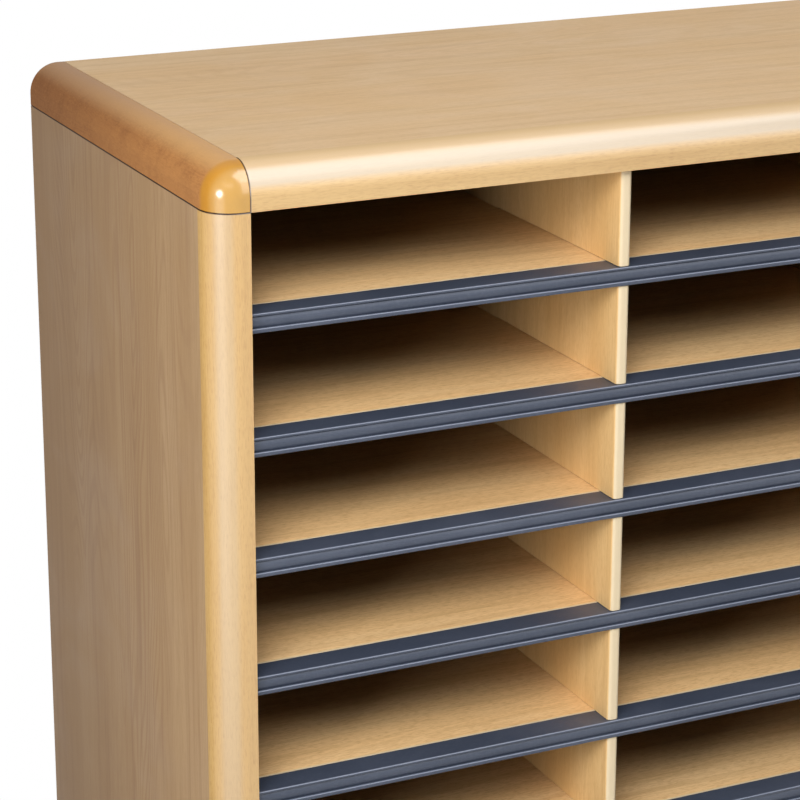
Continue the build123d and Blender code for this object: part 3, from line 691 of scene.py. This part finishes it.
for hand, seam, side_cut, edging_cut, rail_cut in (
    ("left", LEFT_SEAM, PLAIN_CUT, PLAIN_CUT, PLAIN_CUT),
    ("right", RIGHT_SEAM, RIGHT_SIDE_CUT, RIGHT_EDGING_CUT, RIGHT_RAIL_CUT),
):
    finishes[f"{hand}_side_panel"] = printed_board(
        f"{hand}_side_laminate", "Z", SIDE_TONES, SIDE_GRAIN, side_faces, side_cut, painted_shade_and_rail_joint
    )
    finishes[f"{hand}_front_edging"] = lacquered(
        f"{hand}_edging_wood", "Z", EDGING_TONES, EDGING_GRAIN, post_look, edging_cut, [top_joint]
    )
    finishes[f"{hand}_corner_rail"] = lacquered(
        f"{hand}_rail_wood", "Y", RAIL_TONES, RAIL_GRAIN, rail_look, rail_cut,
        [top_joint, (ACROSS, seam, RAIL_JOINT_STRENGTH)], RAIL_COAT_ROUGHNESS
    )

# Finishes that several pieces share
divider_finish = printed_board(
    "divider_board", "Z", DIVIDER_TONES, DIVIDER_GRAIN, side_faces, PLAIN_CUT, cream_edge
)
shelf_finish = printed_board(
    "shelf_board", "X", SHELF_TONES, SHELF_GRAIN, upper_face, PLAIN_CUT, shelf_edge, backed=True
)
moulding_finish = plastic("moulding_plastic", MOULDING, MOULDING_WORN_AND_HIGHLIGHT)
hardwood_finish = lacquered("plain_hardwood", "Y", HARDWOOD_TONES, PLAIN_GRAIN, post_look, PLAIN_CUT)
for name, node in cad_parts.items():
    if name.startswith("shelf_"):
        finish = shelf_finish
    elif "moulding" in name:
        finish = moulding_finish
    elif "divider" in name:
        finish = divider_finish
    elif name.endswith("runners") or name == "corner_splines":
        finish = hardwood_finish
    else:
        finish = finishes[name]
    node.material_slots[0].material = finish


def aimed(turn, rise, distance):
    """A place some degrees left of the front and above the floor, seen from the studio's centre."""
    turn, rise = radians(turn), radians(rise)
    towards = Vector((-sin(turn) * cos(rise), -cos(turn) * cos(rise), sin(rise)))
    return Vector(STUDIO_CENTRE) + towards * distance


def lamp(name, place, size, power, shape="RECTANGLE"):
    """A soft box that faces the studio's centre."""
    light = bpy.data.lights.new(name, "AREA")
    light.shape = shape
    light.size, light.size_y = size
    light.energy = power
    box = bpy.data.objects.new(name, light)
    bpy.context.scene.collection.objects.link(box)
    box.location = place
    away = Vector(place) - Vector(STUDIO_CENTRE)
    box.rotation_euler = away.to_track_quat("Z", "Y").to_euler()
    box.visible_camera = False
    return box


def shown_rays(tree):
    """1 for rays that show a surface to the camera, directly, in gloss or through glass."""
    rays = put(tree, "LightPath").outputs
    direct = maths(tree, "MAXIMUM", rays["Is Camera Ray"], rays["Is Transmission Ray"])
    return maths(tree, "MAXIMUM", direct, rays["Is Glossy Ray"])


def white_room():
    """A world that is white to the camera and in reflections, and dim as light."""
    world = bpy.data.worlds.new("white_room")
    world.use_nodes = True
    tree = world.node_tree
    tree.nodes.clear()
    level = put(tree, "MapRange", {"Value": shown_rays(tree), "To Min": AMBIENT, "To Max": 1.0})
    sky = put(tree, "Background", {"Color": WHITE, "Strength": level.outputs["Result"]})
    put(tree, "OutputWorld", {"Surface": sky.outputs[0]})
    return world


def floor_paper():
    """Pale paper that takes the object's shadow and fades to white further off."""
    paper = bpy.data.materials.new("floor_paper")
    paper.use_nodes = True
    tree = paper.node_tree
    tree.nodes.clear()
    spot = put(tree, "TexCoord").outputs["Object"]
    across = coordinate(tree, spot, ACROSS)
    depth = coordinate(tree, spot, DEPTH)
    low, high = cad_box
    right = past(tree, across, high[ACROSS], SIDE_FADE)
    left = past(tree, across, low[ACROSS], -SIDE_FADE)
    behind = past(tree, depth, high[DEPTH], BACK_FADE)
    ahead = past(tree, depth, low[DEPTH], -FRONT_FADE)
    sides = maths(tree, "ADD", left, right)
    ends = maths(tree, "ADD", ahead, behind)
    apart = put(tree, "CombineXYZ", {"X": sides, "Y": ends}).outputs[0]
    reach = vector_maths(tree, "LENGTH", apart).outputs["Value"]
    share = times(tree, steps(tree, reach, 0.0, 1.0), shown_rays(tree))
    matt = put(tree, "BsdfDiffuse", {"Color": linear(FLOOR)})
    white = put(tree, "Emission", {"Color": WHITE, "Strength": 1.0})
    both = put(tree, "MixShader", {0: share, 1: matt.outputs[0], 2: white.outputs[0]})
    put(tree, "OutputMaterial", {"Surface": both.outputs[0]})
    return paper


# Lamps: the card gives gloss alone, the key and the fill give light without gloss
key = lamp("key_box", aimed(*KEY_AIM), KEY_SIZE, KEY_POWER)
key.visible_glossy = False
lamp("overhead_box", aimed(*OVERHEAD_AIM), OVERHEAD_SIZE, OVERHEAD_POWER)
card = lamp("gloss_card", aimed(*CARD_AIM), CARD_SIZE, CARD_POWER)
card.visible_diffuse = False
fill = lamp("back_fill", aimed(*FILL_AIM), FILL_SIZE, FILL_POWER)
fill.visible_glossy = False
lamp("spot_box", SPOT_PLACE, SPOT_SIZE, SPOT_POWER, "DISK")
lamp("floor_strip", STRIP_PLACE, STRIP_SIZE, STRIP_POWER)

# Room and floor
bpy.context.scene.world = white_room()
bpy.ops.object.select_all(action="DESELECT")
bpy.ops.mesh.primitive_plane_add(size=FLOOR_SIZE, location=(0, 0, 0))
floor = bpy.context.object
floor.name = "floor"
floor.data.materials.append(floor_paper())

# Camera
lens = bpy.data.cameras.new("camera")
lens.sensor_width = SENSOR_WIDTH
lens.lens = FOCAL_LENGTH
lens.shift_y = CAMERA_SHIFT
camera = bpy.data.objects.new("camera", lens)
bpy.context.scene.collection.objects.link(camera)
camera.location = CAMERA_PLACE
camera.rotation_euler = [radians(turn) for turn in CAMERA_TURN]
bpy.context.scene.camera = camera
bpy.context.scene.view_settings.view_transform = "Standard"
